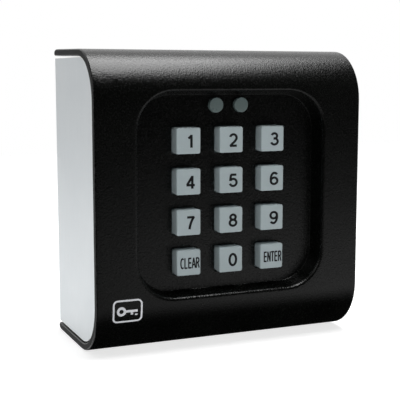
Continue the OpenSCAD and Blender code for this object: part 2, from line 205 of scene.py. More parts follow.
def joined(name, objects):
    """One object out of several, which are removed."""
    bm = bmesh.new()
    for obj in objects:
        bm.from_mesh(obj.data)
        bpy.data.objects.remove(obj)
    mesh = bpy.data.meshes.new(name)
    bm.to_mesh(mesh)
    bm.free()
    soften(mesh, 30)
    return link(mesh, name)


def applied(obj, smooth_angle=30):
    """Applies an object's modifiers."""
    bpy.context.view_layer.update()
    evaluated = obj.evaluated_get(bpy.context.evaluated_depsgraph_get())
    mesh = bpy.data.meshes.new_from_object(evaluated)
    obj.modifiers.clear()
    obj.data = mesh
    soften(mesh, smooth_angle)
    return obj


def boolean(obj, tool, operation):
    """Joins the tool to obj or cuts it out of obj, and removes the tool."""
    mod = obj.modifiers.new(operation, "BOOLEAN")
    mod.operation = operation
    mod.solver = "EXACT"
    mod.object = tool
    applied(obj)
    bpy.data.objects.remove(tool)
    return obj


def flattened(obj):
    """Keeps wide flat faces flat where they meet small rounded ones."""
    mod = obj.modifiers.new("normals", "WEIGHTED_NORMAL")
    mod.keep_sharp = True
    mod.weight = 100
    return obj


def add_bevel(obj, width):
    """A modifier that rounds sharp edges; width is in millimetres."""
    mod = obj.modifiers.new("edges", "BEVEL")
    mod.width = width * MM
    mod.segments = 2
    mod.limit_method = "ANGLE"
    mod.angle_limit = math.radians(SHARP_ANGLE)
    return mod


def bevelled(obj, width):
    add_bevel(obj, width).miter_outer = "MITER_ARC"
    return applied(obj, SHARP_ANGLE)


def arc(centre, radius, start, end, steps):
    """Points of an arc, angles in degrees; radius may be one number or (rx, ry)."""
    rx, ry = radius if isinstance(radius, tuple) else (radius, radius)
    turn = np.radians(np.linspace(start, end, steps + 1))
    return [(centre[0] + rx * math.cos(a), centre[1] + ry * math.sin(a)) for a in turn]


def rounded_rect(half_w, half_h, radius, steps=6, side_steps=1, centre=(0, 0)):
    """Outline of a rounded rectangle, counter-clockwise from its right side; points are spread the same
    way whatever the radius, so such outlines can be lofted."""
    points = []
    corners = [(1, 1, 0), (-1, 1, 90), (-1, -1, 180), (1, -1, 270)]
    for index, (sx, sy, start) in enumerate(corners):
        at = (centre[0] + sx * (half_w - radius), centre[1] + sy * (half_h - radius))
        corner = arc(at, radius, start, start + 90, steps)
        nx, ny, _ = corners[(index + 1) % 4]
        away = math.radians(start + 90)
        following = (
            centre[0] + nx * (half_w - radius) + radius * math.cos(away),
            centre[1] + ny * (half_h - radius) + radius * math.sin(away),
        )
        points += corner
        for s in range(1, side_steps):
            t = s / side_steps
            points.append(tuple(a + (b - a) * t for a, b in zip(corner[-1], following)))
    return points


def in_xz(outline, y):
    """An outline in the (x, z) plane, at depth y."""
    return [(x, y, z) for x, z in outline]


def in_yz(outline, x):
    return [(x, y, z) for y, z in outline]


def prism_y(name, outline, y0, y1):
    return loft(name, [in_xz(outline, y0), in_xz(outline, y1)])


def prism_x(name, outline, x0, x1):
    return loft(name, [in_yz(outline, x0), in_yz(outline, x1)])


def block(name, lo, hi):
    outline = [(lo[0], lo[2]), (hi[0], lo[2]), (hi[0], hi[2]), (lo[0], hi[2])]
    return prism_y(name, outline, lo[1], hi[1])


def circle(centre, r, steps):
    return arc(centre, r, 0, 360, steps)[:-1]


def lathe_y(name, profile, centre, steps=48, smooth_angle=30):
    """A solid turned about an axis along Y; profile is (radius, y) from front to back, off the axis."""
    rings = [in_xz(circle(centre, r, steps), y) for r, y in profile]
    return loft(name, rings, smooth_angle)


# ---- materials ----

def node_tree(name):
    mat = bpy.data.materials.new(name)
    mat.use_nodes = True
    tree = mat.node_tree
    return mat, tree, tree.nodes["Principled BSDF"]


def set_inputs(node, values):
    for key, value in values.items():
        node.inputs[key].default_value = value


def texture(tree, kind, coords, scale, **settings):
    node = tree.nodes.new(kind)
    tree.links.new(coords, node.inputs["Vector"])
    set_inputs(node, {"Scale": scale, **settings})
    return node


def ramp(tree, factor, stops, colour=False):
    node = tree.nodes.new("ShaderNodeValToRGB")
    tree.links.new(factor, node.inputs["Fac"])
    elements = node.color_ramp.elements
    while len(elements) < len(stops):
        elements.new(0.5)
    for element, (at, value) in zip(elements, stops):
        element.position = at
        element.color = (*value, 1) if colour else (value, value, value, 1)
    return node.outputs["Color"]


def add_bump(tree, shader, height, depth, strength=1.0, below=None):
    """A bump of depth metres; below is the normal of a coarser one."""
    node = tree.nodes.new("ShaderNodeBump")
    set_inputs(node, {"Distance": depth, "Strength": strength})
    tree.links.new(height, node.inputs["Height"])
    if below is not None:
        tree.links.new(below, node.inputs["Normal"])
    tree.links.new(node.outputs["Normal"], shader.inputs["Normal"])
    return node.outputs["Normal"]


def object_coords(tree):
    return tree.nodes.new("ShaderNodeTexCoord").outputs["Object"]


def axis_of(tree, vector, axis):
    node = tree.nodes.new("ShaderNodeSeparateXYZ")
    tree.links.new(vector, node.inputs["Vector"])
    return node.outputs[axis]


def map_range(tree, value, start, end, low, high):
    """Runs smoothly from low to high as value goes from start to end."""
    node = tree.nodes.new("ShaderNodeMapRange")
    node.interpolation_type = "SMOOTHSTEP"
    tree.links.new(value, node.inputs["Value"])
    set_inputs(node, {"From Min": start, "From Max": end, "To Min": low, "To Max": high})
    return node.outputs["Result"]


def math_node(tree, operation, *values):
    """Each value is a number or a socket."""
    node = tree.nodes.new("ShaderNodeMath")
    node.operation = operation
    for socket, value in zip(node.inputs, values):
        if isinstance(value, (int, float)):
            socket.default_value = value
        else:
            tree.links.new(value, socket)
    return node.outputs["Value"]


def edge_wear_and_highlight(tree, radius=0.0004, reach=0.12):
    """A mask that rises to 1 along edges, where a bevelled normal leaves the true one. It carries edge
    wear on most finishes and a painted highlight on the silver sheet.
    """
    geometry = tree.nodes.new("ShaderNodeNewGeometry")
    bevel = tree.nodes.new("ShaderNodeBevel")
    bevel.samples = 4
    bevel.inputs["Radius"].default_value = radius
    dot = tree.nodes.new("ShaderNodeVectorMath")
    dot.operation = "DOT_PRODUCT"
    tree.links.new(geometry.outputs["Normal"], dot.inputs[0])
    tree.links.new(bevel.outputs["Normal"], dot.inputs[1])
    return ramp(tree, dot.outputs["Value"], [(1 - reach, 1), (0.995, 0)])


def mixed(tree, factor, a, b):
    """A colour between a and b; each is a colour or a socket."""
    node = tree.nodes.new("ShaderNodeMix")
    node.data_type = "RGBA"
    tree.links.new(factor, node.inputs["Factor"])
    for socket, value in ((node.inputs[6], a), (node.inputs[7], b)):
        if isinstance(value, tuple):
            socket.default_value = (*value, 1)
        else:
            tree.links.new(value, socket)
    return node.outputs[2]


def moulded(name, colour, rough, depth, metal=0.0, grain=900, tint=0.12, coat=0.0,
            transmission=0.0, specular=0.5):
    """A finish with cloudy colour, uneven gloss, a fine grain and lighter worn edges."""
    mat, tree, shader = node_tree(name)
    coords = object_coords(tree)
    cloud = texture(tree, "ShaderNodeTexNoise", coords, 90, Detail=4, Roughness=0.6).outputs["Fac"]
    dark = tuple(c * (1 - tint) for c in colour)
    light = tuple(min(1, c * (1 + tint)) for c in colour)
    clouded = ramp(tree, cloud, [(0.3, dark), (0.7, light)], colour=True)
    worn = tuple(min(1, c * 1.25 + 0.02) for c in colour)
    tree.links.new(mixed(tree, edge_wear_and_highlight(tree), clouded, worn), shader.inputs["Base Color"])
    patch = texture(tree, "ShaderNodeTexNoise", coords, 400, Detail=3).outputs["Fac"]
    gloss = ramp(tree, patch, [(0.3, max(0.02, rough - 0.1)), (0.7, min(1, rough + 0.1))])
    tree.links.new(gloss, shader.inputs["Roughness"])
    fine = texture(tree, "ShaderNodeTexNoise", coords, grain, Detail=2).outputs["Fac"]
    add_bump(tree, shader, fine, depth)
    set_inputs(shader, {"Metallic": metal, "Coat Weight": coat, "Transmission Weight": transmission,
                        "Specular IOR Level": specular})
    return mat


def powder_coat():
    """Black textured powder coat: fine pebbles under an uneven semi-gloss, dull on the cut ends."""
    mat, tree, shader = node_tree("powder_coat_black")
    coords = object_coords(tree)
    pebble = texture(tree, "ShaderNodeTexVoronoi", coords, 2200, Randomness=1.0).outputs["Distance"]
    lump = texture(tree, "ShaderNodeTexNoise", coords, 1500, Detail=2, Roughness=0.5).outputs["Fac"]
    cloud = texture(tree, "ShaderNodeTexNoise", coords, 60, Detail=4).outputs["Fac"]
    stops = [(0.3, (0.0005, 0.0007, 0.0005)), (0.7, (0.0014, 0.0017, 0.0013))]
    base = ramp(tree, cloud, stops, colour=True)
    tree.links.new(mixed(tree, edge_wear_and_highlight(tree), base, (0.006, 0.0065, 0.006)), shader.inputs["Base Color"])
    gloss = ramp(tree, lump, [(0.35, 0.2), (0.65, 0.3)])
    from_middle = math_node(tree, "ABSOLUTE", axis_of(tree, coords, "X"))
    half = COVER_HALF * MM
    cut_end = map_range(tree, from_middle, half - 6e-5, half - 2e-5, 0.0, 0.8)
    tree.links.new(math_node(tree, "MAXIMUM", gloss, cut_end), shader.inputs["Roughness"])
    coarse = add_bump(tree, shader, lump, 2.5e-5)
    add_bump(tree, shader, pebble, 4.5e-5, below=coarse)
    shader.inputs["Specular IOR Level"].default_value = 0.37
    return mat


def satin_silver():
    """Satin silver sheet with a faint rolling grain along Z, and a painted highlight along its edges."""
    mat, tree, shader = node_tree("satin_silver")
    coords = object_coords(tree)
    mapping = tree.nodes.new("ShaderNodeMapping")
    mapping.inputs["Scale"].default_value = (1, 1, 0.04)
    tree.links.new(coords, mapping.inputs["Vector"])
    grain = texture(tree, "ShaderNodeTexNoise", mapping.outputs["Vector"], 2600, Detail=3).outputs["Fac"]
    cloud = texture(tree, "ShaderNodeTexNoise", coords, 25, Detail=3).outputs["Fac"]
    base = ramp(tree, cloud, [(0.3, (0.565, 0.60, 0.62)), (0.7, (0.615, 0.645, 0.66))], colour=True)
    # the pale warm colour along the edges is a painted highlight, not wear
    tree.links.new(mixed(tree, edge_wear_and_highlight(tree), base, (0.9, 0.89, 0.83)), shader.inputs["Base Color"])
    gloss = ramp(tree, grain, [(0.3, 0.36), (0.7, 0.46)])
    tree.links.new(gloss, shader.inputs["Roughness"])
    add_bump(tree, shader, grain, 4e-6, 0.6)
    shader.inputs["Metallic"].default_value = 0.55
    return mat


def track_lines(tree, coords, square, axis, pitch):
    """Parallel copper tracks spaced along one axis, some of them left out in each square."""
    across = math_node(tree, "DIVIDE", axis_of(tree, coords, axis), pitch)
    offset = math_node(tree, "SUBTRACT", math_node(tree, "FRACT", across), 0.5)
    from_middle = math_node(tree, "ABSOLUTE", offset)
    line = map_range(tree, from_middle, 0.15, 0.2, 1.0, 0.0)
    present = tree.nodes.new("ShaderNodeTexWhiteNoise")
    present.noise_dimensions = "4D"
    tree.links.new(square, present.inputs["Vector"])
    tree.links.new(math_node(tree, "FLOOR", across), present.inputs["W"])
    kept = math_node(tree, "GREATER_THAN", present.outputs["Value"], 0.5)
    return math_node(tree, "MULTIPLY", line, kept)


def board_mask():
    """Green solder mask over copper tracks that run one way or the other in each square of the board."""
    mat, tree, shader = node_tree("board_green")
    coords = object_coords(tree)
    square = tree.nodes.new("ShaderNodeVectorMath")
    square.operation = "SNAP"
    square.inputs[1].default_value = (0.0076, 1.0, 0.0063)
    tree.links.new(coords, square.inputs[0])
    square = square.outputs["Vector"]
    chosen = tree.nodes.new("ShaderNodeTexWhiteNoise")
    tree.links.new(square, chosen.inputs["Vector"])
    upright = math_node(tree, "GREATER_THAN", chosen.outputs["Value"], 0.5)
    level = math_node(tree, "SUBTRACT", 1.0, upright)
    up = math_node(tree, "MULTIPLY", upright, track_lines(tree, coords, square, "X", 0.00095))
    along = math_node(tree, "MULTIPLY", level, track_lines(tree, coords, square, "Z", 0.00105))
    tracks = math_node(tree, "ADD", up, along)
    cloud = texture(tree, "ShaderNodeTexNoise", coords, 120, Detail=3).outputs["Fac"]
    base = ramp(tree, cloud, [(0.3, (0.008, 0.085, 0.032)), (0.7, (0.012, 0.11, 0.045))], colour=True)
    tree.links.new(mixed(tree, tracks, base, (0.02, 0.17, 0.06)), shader.inputs["Base Color"])
    add_bump(tree, shader, tracks, 2e-5, 0.6)
    shader.inputs["Roughness"].default_value = 0.28
    return mat


COVER = powder_coat()
SILVER = satin_silver()
BOARD = board_mask()
KEY_GREY = moulded("key_grey", (0.335, 0.395, 0.41), rough=0.55, grain=1500, depth=1.2e-5, tint=0.03)
INK = moulded("legend_ink", (0.004, 0.004, 0.005), rough=0.7, grain=2500, depth=3e-6, tint=0.2,
              specular=0.2)
PRINT = moulded("white_print", (0.60, 0.61, 0.64), rough=0.55, grain=2500, depth=3e-6, tint=0.1)
LENS = moulded("lens_smoke", (0.104, 0.140, 0.138), rough=0.35, grain=500, depth=6e-6, tint=0.08)
SILICONE = moulded("silicone", (0.36, 0.37, 0.36), rough=0.6, depth=1e-5, transmission=0.15)
STEEL = moulded("zinc_plate", (0.62, 0.63, 0.64), rough=0.3, metal=1.0, depth=5e-6)
SPRING = moulded("spring_wire", (0.5, 0.5, 0.52), rough=0.22, metal=1.0, depth=4e-6)
BRASS = moulded("turned_brass", (0.78, 0.58, 0.26), rough=0.25, metal=1.0, depth=4e-6)
TIN = moulded("drawn_tin", (0.76, 0.76, 0.78), rough=0.2, metal=1.0, depth=3e-6)
SOLDER = moulded("solder", (0.66, 0.67, 0.68), rough=0.25, metal=1.0, depth=5e-6)
GOLD = moulded("gilt_pin", (0.85, 0.66, 0.3), rough=0.2, metal=1.0, depth=3e-6)
EPOXY = moulded("chip_epoxy", (0.022, 0.022, 0.024), rough=0.5, grain=2600, depth=8e-6)
SLEEVE = moulded("capacitor_sleeve", (0.018, 0.03, 0.11), rough=0.22, depth=5e-6, coat=0.4)
STRIPE = moulded("sleeve_stripe", (0.55, 0.58, 0.62), rough=0.3, depth=3e-6)
RELAY = moulded("relay_case", (0.03, 0.11, 0.34), rough=0.3, grain=700, depth=6e-6)
TERMINAL = moulded("terminal_green", (0.03, 0.2, 0.08), rough=0.42, depth=1e-5)
JUMPER = moulded("jumper_red", (0.45, 0.02, 0.02), rough=0.35, depth=6e-6)
IVORY = moulded("connector_ivory", (0.72, 0.68, 0.56), rough=0.45, depth=8e-6)
RIBBON = moulded("ribbon_grey", (0.36, 0.37, 0.39), rough=0.45, depth=6e-6)
ORANGE = moulded("plunger_orange", (0.68, 0.19, 0.03), rough=0.38, depth=6e-6)
RUBBER = moulded("grommet_rubber", (0.016, 0.016, 0.016), rough=0.7, grain=1200, depth=1.5e-5)
LED_RED = moulded("led_red", (0.6, 0.03, 0.02), rough=0.12, depth=2e-6, transmission=0.7)
LED_GREEN = moulded("led_green", (0.04, 0.45, 0.1), rough=0.12, depth=2e-6, transmission=0.7)


def dress(obj, mat, body, replaces=()):
    obj.data.materials.clear()
    obj.data.materials.append(mat)
    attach(obj, body)
    if replaces:
        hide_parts(*replaces)
    return obj


# ---- cover ----

class Profile:
    """The cover's outer line, met by a distance t that equals z on the flat front and runs on along
    each curve and flange. inset moves a point inwards from the outer face."""

    top_angle = math.radians(90) - SPLAY
    bottom_angle = math.radians(90)
    top_arc_end = TOP_C[1] + TOP_R * top_angle
    bottom_arc_end = BOTTOM_C[1] - BOTTOM_R * bottom_angle
    top_flange = (BACK_Y - TOP_C[0] + TOP_R * math.sin(SPLAY)) / math.cos(SPLAY)
    top_end = top_arc_end + top_flange
    bottom_end = bottom_arc_end - (BACK_Y - BOTTOM_C[0])

    def point(self, t, inset=0.0):
        if t > TOP_C[1]:
            angle = min((t - TOP_C[1]) / TOP_R, self.top_angle)
            centre, r, up = TOP_C, TOP_R - inset, 1
            beyond = max(0.0, t - self.top_arc_end)
        elif t < BOTTOM_C[1]:
            angle = min((BOTTOM_C[1] - t) / BOTTOM_R, self.bottom_angle)
            centre, r, up = BOTTOM_C, BOTTOM_R - inset, -1
            beyond = max(0.0, self.bottom_arc_end - t)
        else:
            return FRONT_Y + inset, t
        y = centre[0] - r * math.cos(angle) + beyond * math.sin(angle)
        z = centre[1] + up * (r * math.sin(angle) + beyond * math.cos(angle))
        return y, z

    def t_at(self, z, inset=0.0):
        """The distance at height z, on the front or a curve."""
        if z > TOP_C[1]:
            return TOP_C[1] + TOP_R * math.asin((z - TOP_C[1]) / (TOP_R - inset))
        if z < BOTTOM_C[1]:
            return BOTTOM_C[1] - BOTTOM_R * math.asin((BOTTOM_C[1] - z) / (BOTTOM_R - inset))
        return z


PROFILE = Profile()
SIDE_STEPS = 44
CORNER_STEPS = 10
FLAT_X = COVER_HALF - END_EDGE_R
GRID_T = (-43.0, 46.5)
GRID_X = np.linspace(-FLAT_X, FLAT_X, SIDE_STEPS + 1)
FLANGE_STEPS = 26
OUTER_EDGE_STEPS = 6
INNER_EDGE_STEPS = 4
BACK_EDGE_POINTS = OUTER_EDGE_STEPS + INNER_EDGE_STEPS
END_EDGE_STEPS = 3
SHELL_FILLET = 0.8
FILLET_STEPS = 5


def cover_point(x, t, inset):
    y, z = PROFILE.point(t, inset)
    return (x, y, z)


def recess_ring(inset):
    """Points round the recess, inset from its edge, from the middle of the lower right corner."""
    half, r = RECESS_HALF - inset, RECESS_R - inset
    straight = SIDE_STEPS - CORNER_STEPS
    ring = rounded_rect(half, half, r, CORNER_STEPS, straight, (0, RECESS_Z))
    start = len(ring) - straight + 1 - CORNER_STEPS // 2 - 1
    return ring[start:] + ring[:start]


def grid_border():
    """Points round the gridded stretch of the cover, in (x, t), in step with recess_ring."""
    ts = np.linspace(GRID_T[0], GRID_T[1], SIDE_STEPS + 1)
    right = [(FLAT_X, t) for t in ts[:-1]]
    top = [(x, GRID_T[1]) for x in GRID_X[:0:-1]]
    left = [(-FLAT_X, t) for t in ts[:0:-1]]
    bottom = [(x, GRID_T[0]) for x in GRID_X[:-1]]
    return right + top + left + bottom


def pocket_section(shell):
    """(inset, depth below the front face) down the recess, from its rim to its floor: the outer face,
    or with shell the inner one."""
    wall = math.atan(RECESS_SLOPE)
    cos_w, sin_w = math.cos(wall), math.sin(wall)
    if shell:
        rim_r, floor_r = SHELL_FILLET, SHELL_FILLET
        start_h, end_h = COVER_T, RECESS_D + FLOOR_T
        shift, depth = -POCKET_WALL, 1.5
    else:
        rim_r, floor_r = RIM_FILLET, FLOOR_FILLET
        start_h, end_h = 0.0, RECESS_D
        shift, depth = 0.0, 0.0

    def line(h):
        return shift + RECESS_SLOPE * (h - depth)

    reach = (1 - sin_w) / cos_w
    points = []
    centre = (line(start_h) - rim_r * reach, start_h + rim_r)
    for k in range(FILLET_STEPS + 1):
        a = (math.pi / 2 - wall) * k / FILLET_STEPS
        points.append((centre[0] + rim_r * math.sin(a), centre[1] - rim_r * math.cos(a)))
    centre = (line(end_h) + floor_r * reach, end_h - floor_r)
    for k in range(FILLET_STEPS + 1):
        a = (math.pi / 2 - wall) * (1 - k / FILLET_STEPS)
        points.append((centre[0] - floor_r * math.sin(a), centre[1] + floor_r * math.cos(a)))
    return points


def recess_skin(inset):
    """Rings from the border of the gridded stretch to the recess floor."""
    section = pocket_section(inset > 0)
    start_h, end_h = (COVER_T, RECESS_D + FLOOR_T) if inset else (0.0, RECESS_D)
    rings = []
    rim = [(x, PROFILE.t_at(z, inset)) for x, z in recess_ring(section[0][0])]
    border = grid_border()
    steps = 10
    for k in range(steps):
        share = (k / steps) ** 0.8
        rings.append([
            cover_point(bx + (hx - bx) * share, bt + (ht - bt) * share, inset)
            for (bx, bt), (hx, ht) in zip(border, rim)
        ])
    for d, h in section:
        share = (h - start_h) / (end_h - start_h)
        share = share * share * (3 - 2 * share)
        ring = []
        for x, z in recess_ring(d):
            y_face = PROFILE.point(PROFILE.t_at(z, inset), inset)[0]
            ring.append((x, FRONT_Y + h + (y_face - FRONT_Y - start_h) * (1 - share), z))
        rings.append(ring)
    return rings


def strip_rows(t0, t1, steps):
    return list(np.linspace(t0, t1, steps + 1))


def edge_rows(end, sign):
    """(t, inset) round a back edge, from the outer face to the inner one; sign is 1 at the top."""
    rows = []
    r, q = BACK_EDGE_R, BACK_EDGE_INNER_R
    for k in range(OUTER_EDGE_STEPS + 1):
        a = math.radians(90) * k / OUTER_EDGE_STEPS
        rows.append((end - sign * BACK_EDGE_RUN * (1 - math.sin(a)), r - r * math.cos(a)))
    for k in range(INNER_EDGE_STEPS + 1):
        a = math.radians(90) * k / INNER_EDGE_STEPS
        rows.append((end - sign * (q - q * math.cos(a)), COVER_T - q + q * math.sin(a)))
    return rows


def cover_section(shrink):
    """The cover's whole section as a closed loop of (t, inset), pulled in by shrink all round."""
    top = strip_rows(GRID_T[1], PROFILE.top_end - BACK_EDGE_RUN, FLANGE_STEPS)
    bottom = strip_rows(PROFILE.bottom_end + BACK_EDGE_RUN, GRID_T[0], FLANGE_STEPS)
    middle = strip_rows(GRID_T[0], GRID_T[1], SIDE_STEPS)
    outer = bottom[:-1] + middle + top[1:]
    loop = [(t, 0.0) for t in outer]
    loop += edge_rows(PROFILE.top_end, 1)[1:-1]
    loop += [(t, COVER_T) for t in reversed(outer)]
    loop += list(reversed(edge_rows(PROFILE.bottom_end, -1)))[1:-1]
    middle_t = (PROFILE.top_end + PROFILE.bottom_end) / 2
    reach_t = (PROFILE.top_end - PROFILE.bottom_end) / 2
    squeeze_t = 1 - shrink / reach_t
    squeeze_i = 1 - shrink / (COVER_T / 2)
    return [
        (middle_t + (t - middle_t) * squeeze_t, COVER_T / 2 + (i - COVER_T / 2) * squeeze_i)
        for t, i in loop
    ], len(outer)


def cover_skin():
    """The cover before its bosses and openings, both faces and all its edges."""
    verts, faces = [], []

    def add_grid(rows, closed=False):
        first, width = len(verts), len(rows[0])
        for row in rows:
            verts.extend(row)
        for i in range(len(rows) - 1):
            for j in range(width if closed else width - 1):
                k = (j + 1) % width
                a, b = first + i * width, first + (i + 1) * width
                faces.append((a + j, a + k, b + k, b + j))
        return first

    for inset in (0.0, COVER_T):
        rings = recess_skin(inset)
        first = add_grid(rings, closed=True)
        count = len(rings[0])
        last = first + (len(rings) - 1) * count
        faces.append(tuple(range(last, last + count)))
    loop, outer = cover_section(0.0)
    in_grid = range(FLANGE_STEPS, FLANGE_STEPS + SIDE_STEPS)
    inner_start = outer + BACK_EDGE_POINTS
    for i in range(len(loop)):
        j = (i + 1) % len(loop)
        on_outer = i in in_grid
        on_inner = i >= inner_start and (inner_start + outer - 2 - i) in in_grid
        if on_outer or on_inner:
            continue
        add_grid([[cover_point(x, *loop[k]) for x in GRID_X] for k in (i, j)])
    for side in (-1, 1):
        rings = []
        for k in range(END_EDGE_STEPS + 1):
            a = math.radians(90) * k / END_EDGE_STEPS
            x = side * (FLAT_X + END_EDGE_R * math.sin(a))
            section, _ = cover_section(END_EDGE_R * (1 - math.cos(a)))
            rings.append([cover_point(x, t, i) for t, i in section])
        first = add_grid(rings, closed=True)
        last = first + END_EDGE_STEPS * len(loop)
        gap = len(loop) - 2 * outer
        ends = gap // 2
        for i in range(outer - 1):
            opposite = 2 * outer + ends - 1 - i
            faces.append((last + i, last + i + 1, last + opposite - 1, last + opposite))
        faces.append(tuple(last + k for k in range(outer - 1, outer + ends + 1)))
        tail = list(range(2 * outer + ends - 1, len(loop))) + [0]
        faces.append(tuple(last + k for k in tail))
    return new_object("cover_shell", verts, faces)


def window_tools():
    """What is cut out of the recess floor: key windows and lamp holes, each with a broken edge."""
    broken = 0.14
    tools = []
    half = KEY_HALF + KEY_GAP
    for node in KEYS:
        centre = centre_of(node)
        rings = []
        for y, grow in ((FLOOR_Y - 1, 1 + broken), (FLOOR_Y + broken, 0), (FLOOR_BACK_Y + 1, 0)):
            rings.append(in_xz(rounded_rect(half + grow, half + grow, 0.5 + grow, 4, 1, centre), y))
        tools.append(loft("tool", rings))
    for node in ("lens_left", "lens_right"):
        centre = centre_of(node)
        r = LENS_R + 0.05
        profile = [(r + 1 + broken, FLOOR_Y - 1), (r, FLOOR_Y + broken), (r, FLOOR_BACK_Y + 1)]
        tools.append(lathe_y("tool", profile, centre))
    return tools


KEYPAD_SCREWS = [(x, z) for x in (-30, 30) for z in (-30.5, 35)]
COVER_SCREWS = [(-25, -12), (25, -12)]


def cover():
    """The shell with its screw bosses, the pegs that hook into the chassis, and its openings."""
    shell = cover_skin()
    bosses = [
        lathe_y("boss", [(3.3, FLOOR_BACK_Y - 1), (3.3, FLOOR_BACK_Y), (2.8, FLOOR_BACK_Y + 0.5),
                         (2.8, keypad_board_lo[1] - 0.15), (2.65, keypad_board_lo[1])], at)
        for at in KEYPAD_SCREWS
    ]
    pegs = []
    for x in (-30, 30):
        outline = [(-10.4, 46.2), (-8.6, 46.2), (-8.0, 46.8), (-8.0, 50.0), (-10.4, 50.0)]
        pegs.append(prism_x("peg", outline, x - 4, x + 4))
    boolean(shell, joined("adds", bosses + pegs), "UNION")
    tools = window_tools()
    for at in KEYPAD_SCREWS:
        pilot = [(1.22, FLOOR_BACK_Y - 0.8), (1.22, keypad_board_lo[1] - 0.2),
                 (2.6, keypad_board_lo[1] + 1)]
        tools.append(lathe_y("tool", pilot, at))
    for x, y in COVER_SCREWS:
        rings = []
        for r, depth in ((4.1, -1), (3.1, 0), (1.7, 1.5), (1.7, COVER_T + 1)):
            rings.append([(px, py, BOTTOM_Z + depth) for px, py in circle((x, y), r, 40)])
        tools.append(loft("tool", rings))
    boolean(shell, joined("cuts", tools), "DIFFERENCE")
    tidy_mesh(shell.data)
    flattened(shell)
    dress(shell, COVER, HOUSING, ["front_cover"])


cover()


# ---- keys ----

def key_cap(node):
    """A key: flat face with a soft edge, body whose corners get rounder towards its flange, and stem."""
    lo, hi = box_mm(node)
    centre = centre_of(node)
    face_y = lo[1]
    flange_y = hi[1] - 1.5

    def ring(half, corner, y):
        return in_xz(rounded_rect(half, half, corner, 5, 3, centre), y)

    rings = [ring(KEY_HALF * share, 0.2, face_y) for share in (0.15, 0.5, 0.8)]
    for k in range(6):
        a = math.radians(90) * k / 5
        half = KEY_HALF - KEY_TAPER - KEY_EDGE_R * (1 - math.sin(a))
        corner = KEY_FACE_CORNER_R - KEY_EDGE_R * (1 - math.sin(a))
        rings.append(ring(half, corner, face_y + KEY_EDGE_R * (1 - math.cos(a))))
    wide, stem = KEY_HALF + KEY_FLANGE, 2.2
    rows = [
        (KEY_HALF - KEY_TAPER / 2, (KEY_FACE_CORNER_R + KEY_CORNER_R) / 2, face_y + 2),
        (KEY_HALF, KEY_CORNER_R, face_y + 4),
        (KEY_HALF, KEY_CORNER_R, flange_y - 0.15),
        (KEY_HALF + 0.15, KEY_CORNER_R, flange_y),
        (wide - 0.1, 0.9, flange_y),
        (wide, 1.0, flange_y + 0.1),
        (wide, 1.0, flange_y + 0.9),
        (wide - 0.1, 0.9, flange_y + 1),
        (stem, stem * 0.999, flange_y + 1),
        (stem, stem * 0.999, hi[1] - 0.1),
        (stem - 0.1, (stem - 0.1) * 0.999, hi[1]),
    ]
    rings += [ring(*row) for row in rows]
    cap = flattened(loft(node + "_cap", rings, smooth_angle=40))
    dress(cap, KEY_GREY, node + "_body", [node])


def glyph_strokes():
    """Each glyph is a list of strokes through points, one unit high, about the line x = 0."""
    edge = 0.945
    low = 0.055
    bars = [[(-0.15, y), (0.17, y)] for y in (low, 0.52, edge)]
    stem = [(-0.15, 0), (-0.15, 1)]
    six = [
        arc((0, 0.31), (0.26, 0.26), 0, 360, 28),
        arc((0.01, 0.74), (0.235, 0.21), 22, 90, 6) + arc((0.01, 0.45), (0.275, 0.5), 90, 196, 14)[1:],
    ]
    return {
        "0": [arc((0, 0.5), (0.255, 0.45), 0, 360, 32)],
        "1": [[(0.06, 0), (0.06, 1)], [(-0.17, 0.73), (-0.08, 0.785), (0.0, 0.86), (0.06, 0.95)]],
        "2": [arc((0, 0.685), (0.25, 0.262), 165, -30, 18) + [(0.1, 0.38), (-0.08, 0.22), (-0.24, 0.03)],
              [(-0.27, low), (0.27, low)]],
        "3": [arc((-0.01, 0.735), (0.215, 0.212), 162, -90, 20) + [(-0.08, 0.523)],
              arc((0, 0.298), (0.26, 0.245), 100, -165, 22)],
        "4": [[(0.12, 0), (0.12, 1)], [(0.12, 0.94), (-0.27, 0.3)], [(-0.32, 0.28), (0.31, 0.28)]],
        "5": [[(-0.2, edge), (0.25, edge)], [(-0.165, 0.96), (-0.235, 0.46)],
              arc((0, 0.335), (0.262, 0.283), 145, -162, 22)],
        "6": six,
        "7": [[(-0.27, edge), (0.28, edge)],
              [(0.25, 0.97), (0.12, 0.76), (0.01, 0.5), (-0.06, 0.24), (-0.09, 0)]],
        "8": [arc((0, 0.742), (0.205, 0.203), 0, 360, 26), arc((0, 0.297), (0.255, 0.242), 0, 360, 28)],
        "9": [[(-x, 1 - y) for x, y in stroke] for stroke in six],
        "C": [arc((0.02, 0.5), (0.2, 0.45), 52, 308, 22)],
        "L": [stem, bars[0]],
        "E": [stem] + bars,
        "A": [[(-0.21, 0), (0, 0.99)], [(0.21, 0), (0, 0.99)], [(-0.14, 0.33), (0.14, 0.33)]],
        "R": [stem,
              [(-0.15, edge), (0.02, edge)] + arc((0.02, 0.735), (0.15, 0.21), 88, -90, 10)
              + [(-0.15, 0.525)],
              [(0.02, 0.54), (0.2, 0)]],
        "N": [[(-0.16, 0), (-0.16, 1)], [(0.16, 0), (0.16, 1)], [(-0.15, 0.97), (0.15, 0.03)]],
        "T": [[(-0.21, edge), (0.21, edge)], [(0, 0), (0, 1)]],
    }


GLYPHS = glyph_strokes()
INK_ABOVE = 0.015
INK_BELOW = 0.03


